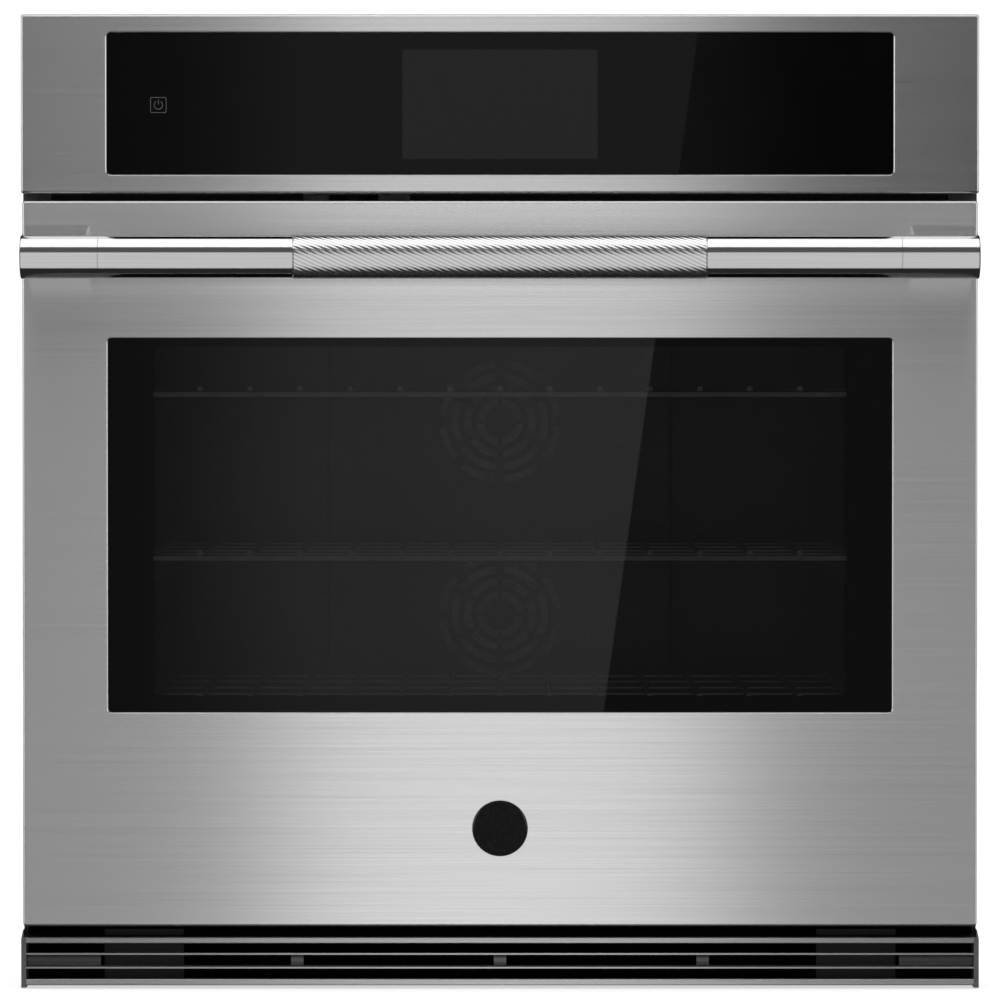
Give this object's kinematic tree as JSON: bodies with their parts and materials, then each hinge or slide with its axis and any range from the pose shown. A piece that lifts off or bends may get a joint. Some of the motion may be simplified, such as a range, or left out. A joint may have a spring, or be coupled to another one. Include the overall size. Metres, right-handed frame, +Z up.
{
  "type": "wall oven",
  "caption": "Built-in single wall oven with a drop-down glazed door, a knurled bar handle, a glass touch panel, racks, convection fans and a slotted bottom vent.",
  "frame": {"origin": "centre of the footprint, on the plane that the base runners stand on", "axes": "+X to the oven's right as the cook sees it, +Y into the cabinet, +Z up"},
  "size_m": [0.759, 0.7146, 0.7703],
  "materials": {
    "stainless": "horizontally brushed",
    "polished_steel": "polished",
    "knurled_steel": "diamond knurled",
    "badge_metal": "dark satin metal with a bright bevel",
    "tinted_glass": "grey tint, black printed border",
    "black_glass": "opaque black back print",
    "clear_glass": "clear heat-proof",
    "display_plastic": "dark display face",
    "board_laminate": "circuit board",
    "galvanised_sheet": "galvanised spangle",
    "black_sheet": "black powder coat",
    "enamel": "dark speckled vitreous enamel",
    "woven_seal": "woven glass-fibre tube",
    "glass_wool": "loose glass wool",
    "heater_sheath": "oxidised heater sheath",
    "lamp_metal": "pressed steel",
    "fan_metal": "pressed sheet",
    "motor_metal": "laminated stator and cast bracket",
    "rack_chrome": "bright plated wire",
    "slide_steel": "rolled steel",
    "spring_steel": "oiled spring steel",
    "screw_steel": "zinc plated",
    "switch_plastic": "heat-proof moulding",
    "cap_plastic": "dark grey satin"
  },
  "bodies": {
    "chassis": {"side_panel_right": "galvanised_sheet", "side_panel_left": "galvanised_sheet", "top_cover": "galvanised_sheet", "rear_cover": "galvanised_sheet", "base_pan": "galvanised_sheet", "side_trim_right": "black_sheet", "side_trim_left": "black_sheet", "upper_gap_trim": "black_sheet", "divider_plate": "galvanised_sheet", "chassis_screws": "screw_steel", "conduit_connector": "screw_steel", "cavity_floor": "enamel", "cavity_ceiling": "enamel", "cavity_sides": "enamel", "cavity_back": "enamel", "cavity_front_frame": "enamel", "door_gasket": "woven_seal", "insulation": "glass_wool", "broil_element": "heater_sheath", "bake_element": "heater_sheath", "convection_elements": "heater_sheath", "lamp_housings": "lamp_metal", "lamp_lenses": "clear_glass", "temperature_probe": "screw_steel", "fan_baffle": "enamel", "fan_motors": "motor_metal", "hinge_arms": "spring_steel", "hinge_receivers": "galvanised_sheet", "control_fascia": "stainless", "control_glass": "black_glass", "display_module": "display_plastic", "control_boards": "board_laminate", "latch_motor": "motor_metal", "door_switch": "switch_plastic", "blower_housing": "galvanised_sheet", "blower_motor": "motor_metal", "vent_rails": "stainless", "vent_end_caps": "cap_plastic", "vent_baffle": "black_sheet", "rack_guides": "rack_chrome", "slide_rails_outer": "slide_steel"},
    "door": {"door_skin": "stainless", "door_outer_glass": "tinted_glass", "door_inner_glass": "clear_glass", "door_liner": "enamel", "hinge_channels": "galvanised_sheet", "hinge_springs": "spring_steel", "handle_bar": "polished_steel", "handle_grip": "knurled_steel", "handle_brackets": "polished_steel", "badge": "badge_metal"},
    "rack_upper": {"rack_upper": "rack_chrome"},
    "rack_lower": {"rack_lower": "rack_chrome"},
    "rack_roll_out": {"rack_roll_out": "rack_chrome"},
    "slide_rails": {"slide_rails_middle": "slide_steel"},
    "latch": {"latch_hook": "spring_steel"},
    "plunger": {"switch_plunger": "switch_plastic"},
    "fan_upper": {"fan_wheel_upper": "fan_metal"},
    "fan_lower": {"fan_wheel_lower": "fan_metal"},
    "cooling_wheel": {"blower_wheel": "fan_metal"}
  },
  "joints": [
    {"name": "door_hinge", "type": "hinge", "parent": "chassis", "child": "door", "pos_m": [0, -0.27275, 0.0685], "axis": [1, 0, 0], "range_deg": [0, 90], "stiffness_Nm_per_rad": 25, "springref_deg": -14.32},
    {"name": "rack_upper_slide", "type": "slide", "parent": "chassis", "child": "rack_upper", "axis": [0, -1, 0], "range_m": [0, 0.34578]},
    {"name": "rack_roll_out_slide", "type": "slide", "parent": "chassis", "child": "rack_roll_out", "axis": [0, -1, 0], "range_m": [0, 0.37719]},
    {"name": "slide_rails_slide", "type": "slide", "parent": "chassis", "child": "slide_rails", "axis": [0, -1, 0], "range_m": [0, 0.1887]},
    {"name": "rack_lower_slide", "type": "slide", "parent": "chassis", "child": "rack_lower", "axis": [0, -1, 0], "range_m": [0, 0.22011]},
    {"name": "plunger_slide", "type": "slide", "parent": "chassis", "child": "plunger", "axis": [0, -1, 0], "range_m": [0, 0.00421]},
    {"name": "latch_pivot", "type": "hinge", "parent": "chassis", "child": "latch", "pos_m": [-0.118, -0.21775, 0.6075], "axis": [0, 0, -1], "range_deg": [0, 90]},
    {"name": "fan_upper_spin", "type": "hinge", "parent": "chassis", "child": "fan_upper", "pos_m": [0, 0.23425, 0.445], "axis": [0, 1, 0], "continuous": true},
    {"name": "fan_lower_spin", "type": "hinge", "parent": "chassis", "child": "fan_lower", "pos_m": [0, 0.23425, 0.2775], "axis": [0, 1, 0], "continuous": true},
    {"name": "cooling_wheel_spin", "type": "hinge", "parent": "chassis", "child": "cooling_wheel", "pos_m": [0, 0.21125, 0.632], "axis": [0, 0, 1], "continuous": true}
  ],
  "couplings": [
    {"joint": "rack_upper_slide", "follows": "door_hinge", "m_per_rad": 0.22},
    {"joint": "rack_roll_out_slide", "follows": "door_hinge", "m_per_rad": 0.24},
    {"joint": "slide_rails_slide", "follows": "door_hinge", "m_per_rad": 0.12},
    {"joint": "rack_lower_slide", "follows": "door_hinge", "m_per_rad": 0.14},
    {"joint": "plunger_slide", "follows": "door_hinge", "m_per_rad": 0.00255}
  ]
}
